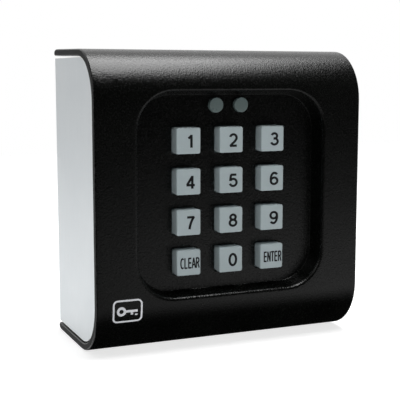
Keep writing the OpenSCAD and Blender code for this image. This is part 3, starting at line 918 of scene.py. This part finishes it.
def ribbon(points, width):
    """The outline of a stroke of even width, with square ends."""
    points = np.array(points, float)
    closed = np.allclose(points[0], points[-1])
    if closed:
        points = points[:-1]
    before, after = np.roll(points, 1, 0), np.roll(points, -1, 0)
    if not closed:
        before[0], after[-1] = 2 * points[0] - points[1], 2 * points[-1] - points[-2]
    a, b = points - before, after - points
    a /= np.linalg.norm(a, axis=1)[:, None]
    b /= np.linalg.norm(b, axis=1)[:, None]
    bisector = a + b
    bisector /= np.linalg.norm(bisector, axis=1)[:, None]
    normal = np.c_[-bisector[:, 1], bisector[:, 0]]
    stretch = 1 / np.maximum((a * bisector).sum(1), 0.5)
    offset = normal * (stretch * width / 2)[:, None]
    return points + offset, points - offset, closed


def stroke_solid(points, width, place):
    """A thin raised stroke; place turns a drawn point and a height over the surface into (x, y, z)."""
    left, right, closed = ribbon(points, width)
    rings = []
    for l, r in zip(left, right):
        rings.append([place(l, INK_ABOVE), place(r, INK_ABOVE), place(r, -INK_BELOW),
                      place(l, -INK_BELOW)])
    return loft("stroke", rings, closed=closed)


def printed(name, strokes):
    ink = strokes[0]
    for other in strokes[1:]:
        boolean(ink, other, "UNION")
    ink.name = ink.data.name = name
    return ink


def legend(node, text):
    """The printed legend of a key, a thin layer of ink on its face."""
    centre = centre_of(node)
    face_y = box_mm(node)[0][1]
    word = len(text) > 1
    height = 3.7 if word else 4.4
    advance = 1.42 if word else 0
    squeeze = 0.8 if word else 1.12
    shift = 0.4 if word else 0.72
    width = 0.16 if word else 0.185
    middle_z = centre[1] - 0.15
    strokes = []
    for index, letter in enumerate(text):
        at_x = centre[0] + shift + (index - (len(text) - 1) / 2) * advance
        for points in GLYPHS[letter]:
            def place(p, above):
                return at_x + p[0] * height * squeeze, face_y - above, middle_z + (p[1] - 0.5) * height
            strokes.append(stroke_solid(points, width, place))
    dress(printed(node + "_legend", strokes), INK, node + "_body")


for key_node, key_text in KEYS.items():
    key_cap(key_node)
    legend(key_node, key_text)


# ---- printed mark ----

MARK_AT = (-39.1, -35.3)


def printed_mark():
    """A plain key in a frame, printed low on the left of the cover."""
    def place(p, above):
        return cover_point(MARK_AT[0] + p[0], MARK_AT[1] + p[1], -above)
    strokes = [
        stroke_solid(arc((-2.2, 0), (1.2, 1.2), 0, 360, 28), 0.85, place),
        stroke_solid([(-1.0, 0), (1.2, 0), (3.5, 0)], 0.85, place),
        stroke_solid([(3.05, 0.3), (3.05, -1.6)], 0.9, place),
        stroke_solid([(1.5, 0.3), (1.5, -1.3)], 0.9, place),
    ]
    frame_line = rounded_rect(4.95, 3.7, 1.4, 6, 12, (0, 0))
    key_mark = printed("printed_mark", strokes)
    dress(key_mark, PRINT, HOUSING)
    border = stroke_solid(frame_line + frame_line[:1], 0.6, place)
    border.name = border.data.name = "printed_mark_frame"
    dress(border, PRINT, HOUSING)


printed_mark()


# ---- indicator windows ----

def lens(node):
    """A grey window that stands a little out of the recess floor, with a soft edge."""
    lo, hi = box_mm(node)
    centre = centre_of(node)
    r, rim = LENS_R, hi[0] - centre[0]
    front, edge = lo[1], 0.25
    profile = [(0.05, front), (0.8, front), (1.5, front + 0.02)]
    profile += [(r - edge + edge * math.sin(a), front + 0.05 + edge - edge * math.cos(a))
                for a in (math.radians(d) for d in range(0, 91, 15))]
    back = hi[1]
    profile += [(r, back - 0.8), (rim, back - 0.8), (rim, back - 0.1), (rim - 0.1, back), (0.05, back)]
    dress(lathe_y(node + "_window", profile, centre), LENS, HOUSING, [node])


lens("lens_left")
lens("lens_right")


# ---- chassis ----

CHASSIS_T = 1.5
WALL_HOLES = [(x, z) for x in (-40, 40) for z in (-36, 36)]
WALL_HOLE_R = 2.25
GROMMET_AT = (0, -38)
GROMMET_HOLE_R = 5.5


def chassis():
    """The bent sheet: side plates and back plate in one, with the tabs and holes of the CAD part."""
    t = CHASSIS_T
    w = chassis_hi[0]
    bend = t
    top, bottom = chassis_hi[2], chassis_lo[2]
    front = chassis_lo[1]
    inner_bend = 0.5
    outer = [(-w, FRONT_Y)] + [(w, FRONT_Y)] + arc((w - bend, -bend), bend, 0, 90, 8)
    outer += arc((-w + bend, -bend), bend, 90, 180, 8)
    inner = [(-w + t, FRONT_Y)] + arc((-w + t + inner_bend, -t - inner_bend), inner_bend, 180, 90, 4)
    inner += arc((w - t - inner_bend, -t - inner_bend), inner_bend, 90, 0, 4) + [(w - t, FRONT_Y)]
    plan = [outer[0]] + inner + outer[1:]
    sheet = loft("chassis_sheet", [[(x, y, z) for x, y in plan] for z in (-80, 80)])
    r_top = TOP_R - COVER_T - 0.2
    r_bottom = 15.6
    outline = arc(TOP_C, r_top, 90, 180, 20)
    outline += arc((front + r_bottom, bottom_plate_z() + r_bottom), r_bottom, 180, 270, 20)
    outline += [(1, bottom_plate_z()), (1, top)]
    boolean(sheet, prism_x("side", outline, -60, 60), "INTERSECT")
    tabs = [
        block("tab", (-34, -18, bottom), (34, -0.2, bottom + t)),
        block("riser", (-34, -t, bottom), (34, 0, bottom + 4)),
        block("lip", (-38, -14, top - t), (38, -0.2, top)),
    ]
    for tab in tabs:
        boolean(sheet, tab, "UNION")
    cuts = [lathe_y("hole", [(WALL_HOLE_R, -3), (WALL_HOLE_R, 1)], at) for at in WALL_HOLES]
    cuts.append(lathe_y("hole", [(GROMMET_HOLE_R, -3), (GROMMET_HOLE_R, 1)], GROMMET_AT))
    for x, y in COVER_SCREWS:
        rings = [[(px, py, z) for px, py in circle((x, y), 1.5, 32)] for z in (bottom - 1, bottom + 3)]
        cuts.append(loft("hole", rings))
    for x in (-30, 30):
        cuts.append(block("slot", (x - 4.4, -10.8, top - 3), (x + 4.4, -7.6, top + 1)))
    boolean(sheet, joined("cuts", cuts), "DIFFERENCE")
    flattened(bevelled(sheet, 0.18))
    dress(sheet, SILVER, HOUSING, ["rear_chassis"])


def bottom_plate_z():
    return BOTTOM_Z + COVER_T + 0.7


chassis()


# ---- parts carried over from the CAD ----

def finish_node(node, mat, edge):
    """Rounds a CAD node's sharp edges and gives it its finish."""
    obj = nodes[node]
    obj.data.materials.clear()
    obj.data.materials.append(mat)
    weld = obj.modifiers.new("weld", "WELD")
    weld.merge_threshold = 1e-6
    flat = obj.modifiers.new("flat", "DECIMATE")
    flat.decimate_type = "DISSOLVE"
    flat.angle_limit = math.radians(0.5)
    add_bevel(obj, edge)


CARRIED = {
    "led_red": (LED_RED, 0.05), "led_green": (LED_GREEN, 0.05),
    "keypad_board": (BOARD, 0.08), "keypad_screws": (STEEL, 0.08),
    "main_board": (BOARD, 0.08), "board_standoffs": (BRASS, 0.12), "board_screws": (STEEL, 0.1),
    "microcontroller": (EPOXY, 0.06), "crystal": (TIN, 0.1), "voltage_regulator": (EPOXY, 0.08),
    "bridge_rectifier": (EPOXY, 0.08), "relay": (RELAY, 0.2),
    "buzzer": (EPOXY, 0.2), "terminal_block": (TERMINAL, 0.05), "terminal_screws": (STEEL, 0.08),
    "config_header": (EPOXY, 0.05), "config_jumper": (JUMPER, 0.1), "main_connector": (IVORY, 0.12),
    "keypad_connector": (IVORY, 0.12), "ribbon_cable": (RIBBON, 0.05), "tamper_housing": (EPOXY, 0.15),
    "tamper_plunger": (ORANGE, 0.1), "cable_grommet": (RUBBER, 0.25), "cover_screws": (STEEL, 0.08),
}
for carried_node, (carried_mat, carried_edge) in CARRIED.items():
    finish_node(carried_node, carried_mat, carried_edge)


# ---- key mat ----

DOME_R = 4.0


def key_mat():
    """The silicone sheet, open under each dome, with its vent holes."""
    sheet_y = mat_hi[1] - 1.2
    outline = rounded_rect(mat_hi[0], mat_hi[2], 2, 5, 1, (0, 0))
    sheet = prism_y("key_mat_sheet", outline, sheet_y, mat_hi[1])
    cuts = [lathe_y("cut", [(DOME_R - 0.1, sheet_y - 1), (DOME_R - 0.1, mat_hi[1] + 1)], centre_of(node))
            for node in KEYS]
    for x in (-8, 8):
        for z in (-14, 0, 14):
            cuts.append(lathe_y("cut", [(1, sheet_y - 1), (1, mat_hi[1] + 1)], (x, z), 24))
    boolean(sheet, joined("cuts", cuts), "DIFFERENCE")
    flattened(bevelled(sheet, 0.12))
    dress(sheet, SILICONE, HOUSING, ["key_mat"])


def dome(node):
    """The rubber dome under a key: a flat top on a thin sloping skirt, built at rest; on the real keypad
    it flattens when pressed.
    """
    top, base = mat_lo[1], mat_hi[1] - 0.02
    profile = [(0.05, top), (2.2, top), (2.5, top + 0.08), (2.65, top + 0.25), (3.3, top + 0.75),
               (3.75, top + 0.95), (DOME_R, top + 1.1), (DOME_R, base), (3.3, base), (2.6, top + 1.1),
               (1.6, top + 1.0), (1.6, top + 1.35), (0.05, top + 1.35)]
    piece = lathe_y(node + "_dome", profile, centre_of(node))
    dress(piece, SILICONE, HOUSING)
    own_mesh(piece)


def contact_pads():
    """Two gilt half discs under each dome, which the pressed dome bridges."""
    y = keypad_board_lo[1]
    halves = []
    for node in KEYS:
        x, z = centre_of(node)
        for start in (-75, 105):
            tilt = math.radians(start + 75)
            middle = (x + 0.2 * math.cos(tilt), z + 0.2 * math.sin(tilt))
            halves.append(prism_y("half", arc(middle, 2.0, start, start + 150, 14), y - 0.035, y + 0.02))
    dress(joined("contact_pads", halves), GOLD, HOUSING)


key_mat()
contact_pads()
for dome_node in KEYS:
    dome(dome_node)


# ---- tamper spring ----

def tamper_spring():
    """A coil of round wire with closed ends, built at rest; on the real part the plunger squeezes it as it
    goes in.
    """
    lo, hi = box_mm("tamper_spring")
    centre = centre_of("tamper_spring")
    wire = 0.2
    radius = (hi[0] - lo[0]) / 2 - wire
    turns, steps = 7, 22
    y0, y1 = lo[1] + wire, hi[1] - wire
    rings = []
    for k in range(turns * steps + 1):
        share = k / (turns * steps)
        spread = min(1, max(0, (share * turns - 0.8) / (turns - 1.6)))
        y = y0 + 0.35 * min(share * turns, 0.8) + (y1 - y0 - 0.56) * spread
        y += 0.35 * max(0, share * turns - (turns - 0.8))
        turn = 2 * math.pi * share * turns
        out_x, out_z = math.cos(turn), math.sin(turn)
        ring = []
        for a in (math.radians(d) for d in range(0, 360, 45)):
            r = radius + wire * math.cos(a)
            ring.append((centre[0] + r * out_x, y + wire * math.sin(a), centre[1] + r * out_z))
        rings.append(ring)
    piece = loft("tamper_spring_coil", rings)
    dress(piece, SPRING, HOUSING, ["tamper_spring"])
    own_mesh(piece)


tamper_spring()


# ---- board details ----

def vent_outline(centre, reach, half_w):
    """Outline of three bars, 60 degrees apart, that cross at the centre."""
    at = np.array(centre)
    points = []
    for angle in range(30, 390, 60):
        a = math.radians(angle)
        along = np.array([math.cos(a), math.sin(a)]) * reach
        across = np.array([-math.sin(a), math.cos(a)]) * half_w
        between = a + math.radians(30)
        inner = np.array([math.cos(between), math.sin(between)]) * 2 * half_w
        points += [at + along - across, at + along + across, at + inner]
    return [tuple(p) for p in points]


def capacitor(name, centre, r, height):
    """An electrolytic capacitor: rolled sleeve, bare can top with its vent, pale stripe."""
    y = main_board_lo[1]
    top = y - height
    sleeve = [(r * 0.7, top), (r - 0.5, top), (r - 0.15, top + 0.15), (r, top + 0.5), (r, y - 2.0),
              (r - 0.35, y - 1.6), (r - 0.35, y - 1.3), (r, y - 0.9), (r, y - 0.1), (r - 0.2, y),
              (0.1, y), (0.1, top + 0.4), (r * 0.7, top + 0.4)]
    body = lathe_y(name + "_sleeve", sleeve, centre)
    disc = lathe_y("disc", [(0.05, top + 0.06), (r * 0.66, top + 0.06), (r * 0.7, top + 0.14),
                            (r * 0.7, top + 0.6), (0.05, top + 0.6)], centre)
    vent = prism_y("vent", vent_outline(centre, r * 0.5, 0.08), top - 0.1, top + 0.16)
    boolean(disc, vent, "DIFFERENCE")
    disc.name = name + "_can"
    stripe_r = r + 0.03
    outer = arc(centre, stripe_r, 200, 250, 10)
    inner = arc(centre, r - 0.1, 250, 200, 10)
    stripe = prism_y(name + "_stripe", outer + inner, top + 0.6, y - 2.1)
    return body, disc, stripe


CAPACITORS = {"capacitor_large": ((-24, 6), 5, 16), "capacitor_small": ((-13.4, 7), 3.15, 11)}
for index, (cap_name, (cap_at, cap_r, cap_h)) in enumerate(CAPACITORS.items()):
    cap_body, cap_disc, cap_stripe = capacitor(cap_name, cap_at, cap_r, cap_h)
    dress(cap_body, SLEEVE, HOUSING, ["capacitors"] if index == 0 else ())
    dress(cap_disc, TIN, HOUSING)
    dress(cap_stripe, STRIPE, HOUSING)


def surface_parts():
    """Small resistors and capacitors soldered to the front of the main board."""
    y = main_board_lo[1]
    places = [(5, 4), (5, 8), (5, 12), (9.5, 4), (9.5, 8), (9.5, 12), (6, -12), (10, -12), (-9, 14.5),
              (-5, 17), (0, 17), (5, 17.5)]
    bodies, ends = [], []
    for x, z in places:
        bodies.append(block("chip", (x - 0.75, y - 0.55, z - 0.62), (x + 0.75, y - 0.04, z + 0.62)))
        for side in (-1, 1):
            x0, x1 = sorted((x + side * 0.76, x + side * 1.05))
            ends.append(block("end", (x0, y - 0.58, z - 0.64), (x1, y, z + 0.64)))
    dress(bevelled(joined("surface_part_bodies", bodies), 0.06), EPOXY, HOUSING)
    dress(bevelled(joined("surface_part_ends", ends), 0.08), SOLDER, HOUSING)


def solder_joint(at, y):
    cone = [(0.95, y), (0.85, y + 0.12), (0.45, y + 0.5), (0.28, y + 0.85), (0.1, y + 0.9)]
    return lathe_y("joint", cone, at, 16)


def solder_joints():
    """Cones of solder where the leads of the through-hole parts leave the main board's back."""
    y = main_board_hi[1]
    leads = [(-3 + side * 3.4, -0.3 + (k - 4) * 2.54) for side in (-1, 1) for k in range(9)]
    leads += [(2.54 * 2 * (k - 2.5), -22.9) for k in range(6)]
    leads += [(-26.5, 6), (-21.5, 6), (-14.6, 7), (-12.2, 7), (-28.2, -14), (-21.8, -14)]
    leads += [(16.2, -8), (28.3, -8), (16.2, 7), (28.3, 7), (22.2, 7.5)]
    leads += [(2.54 * (k - 3.5), 26) for k in range(8)]
    leads += [(19.5, 20), (24.5, 20)]
    dress(joined("solder_joints", [solder_joint(at, y) for at in leads]), SOLDER, HOUSING)


surface_parts()
solder_joints()


# ---- floor, light and world ----

FLOOR_Z = cover_lo[2] * MM - 0.0002


def plane(name, outline, z, mat):
    """A flat stage piece; the outline is in metres."""
    mesh = bpy.data.meshes.new(name)
    mesh.from_pydata([(x, y, z) for x, y in outline], [], [tuple(range(len(outline)))])
    mesh.materials.append(mat)
    obj = link(mesh, name)
    return obj


def floor_white():
    mat, _, shader = node_tree("floor_white")
    set_inputs(shader, {"Base Color": (0.6, 0.6, 0.6, 1), "Emission Color": (1, 1, 1, 1),
                        "Emission Strength": 0.75, "Roughness": 0.9, "Specular IOR Level": 0.0})
    return mat


def glowing_table_reflection():
    """A grey glow that stands in for a lit table in reflections: a painted pool of light in front of the
    object that fades with distance, and a painted shadow close under it.
    """
    mat, tree, shader = node_tree("glowing_table_reflection")
    coords = object_coords(tree)
    distance = tree.nodes.new("ShaderNodeVectorMath")
    distance.operation = "DISTANCE"
    tree.links.new(coords, distance.inputs[0])
    distance.inputs[1].default_value = (0.14, -0.14, 0)
    # painted pool of light: the glow is brightest at a point in front of the object and fades with
    # distance
    painted_light_pool = map_range(tree, distance.outputs["Value"], 0.06, 0.3, 0.7, 0.0)
    # painted shadow of the object: the glow falls to nothing close under its front
    clear = map_range(tree, axis_of(tree, coords, "Y"), -0.055, -0.085, 0.0, 1.0)
    tree.links.new(math_node(tree, "MULTIPLY", painted_light_pool, clear), shader.inputs["Emission Color"])
    set_inputs(shader, {"Base Color": (0, 0, 0, 1), "Emission Strength": 1.0, "Roughness": 0.9,
                        "Specular IOR Level": 0.0})
    return mat


def make_floor():
    """A white floor, and in front of the object a glowing grey table, with a painted pool of light and a
    painted shadow, that only shows in reflections.
    """
    far, back = 1.6, 0.8
    side, front = -COVER_HALF * MM, FRONT_Y * MM
    plane("floor", [(-far, -far), (far, -far), (far, back), (-far, back)], FLOOR_Z, floor_white())
    outline = [(-far, -far), (far, -far), (far, 0.02), (side, 0.02), (side, front), (-far, front)]
    table = plane("table", outline, FLOOR_Z + 0.0001, glowing_table_reflection())
    for ray in ("camera", "diffuse", "shadow", "transmission"):
        setattr(table, "visible_" + ray, False)


def make_light(name, at, target, size, power, turn=0):
    """An area light aimed at target; turn rolls it about its own axis, in degrees."""
    data = bpy.data.lights.new(name, "AREA")
    data.shape = "RECTANGLE"
    data.size, data.size_y = size
    data.energy = power
    light = bpy.data.objects.new(name, data)
    scene.collection.objects.link(light)
    light.location = at
    light.rotation_mode = "QUATERNION"
    aim = (Vector(target) - Vector(at)).to_track_quat("-Z", "Y")
    light.rotation_quaternion = aim @ Quaternion((0, 0, 1), math.radians(turn))


def make_world():
    """White to the camera; to everything else a light backdrop behind a dim room."""
    world = bpy.data.worlds.new("world")
    scene.world = world
    world.use_nodes = True
    tree = world.node_tree
    white = tree.nodes["Background"]
    set_inputs(white, {"Color": (1, 1, 1, 1), "Strength": 1.0})
    direction = tree.nodes.new("ShaderNodeTexCoord").outputs["Generated"]
    behind = map_range(tree, axis_of(tree, direction, "Y"), -0.1, 0.5, 0.0, 0.95)
    above = map_range(tree, axis_of(tree, direction, "Z"), 0.0, 0.4, 0.7, 1.0)
    right = map_range(tree, axis_of(tree, direction, "X"), 0.2, 0.9, 0.0, 0.12)
    room = tree.nodes.new("ShaderNodeBackground")
    set_inputs(room, {"Color": (1, 1, 1, 1)})
    strength = math_node(tree, "MULTIPLY_ADD", behind, above, right)
    tree.links.new(strength, room.inputs["Strength"])
    path = tree.nodes.new("ShaderNodeLightPath")
    blend = tree.nodes.new("ShaderNodeMixShader")
    tree.links.new(path.outputs["Is Camera Ray"], blend.inputs["Fac"])
    tree.links.new(room.outputs[0], blend.inputs[1])
    tree.links.new(white.outputs[0], blend.inputs[2])
    tree.links.new(blend.outputs[0], tree.nodes["World Output"].inputs["Surface"])


make_floor()
make_world()
make_light("softbox_top", (0.1135, -0.075, 0.55), (0.1135, -0.0751, 0), (0.27, 0.5), 3.6, turn=-14)
make_light("fill_left", (-0.8, -0.6, 0.7), (0, -0.03, 0), (0.6, 0.6), 1.3)
scene.view_settings.view_transform = "Standard"
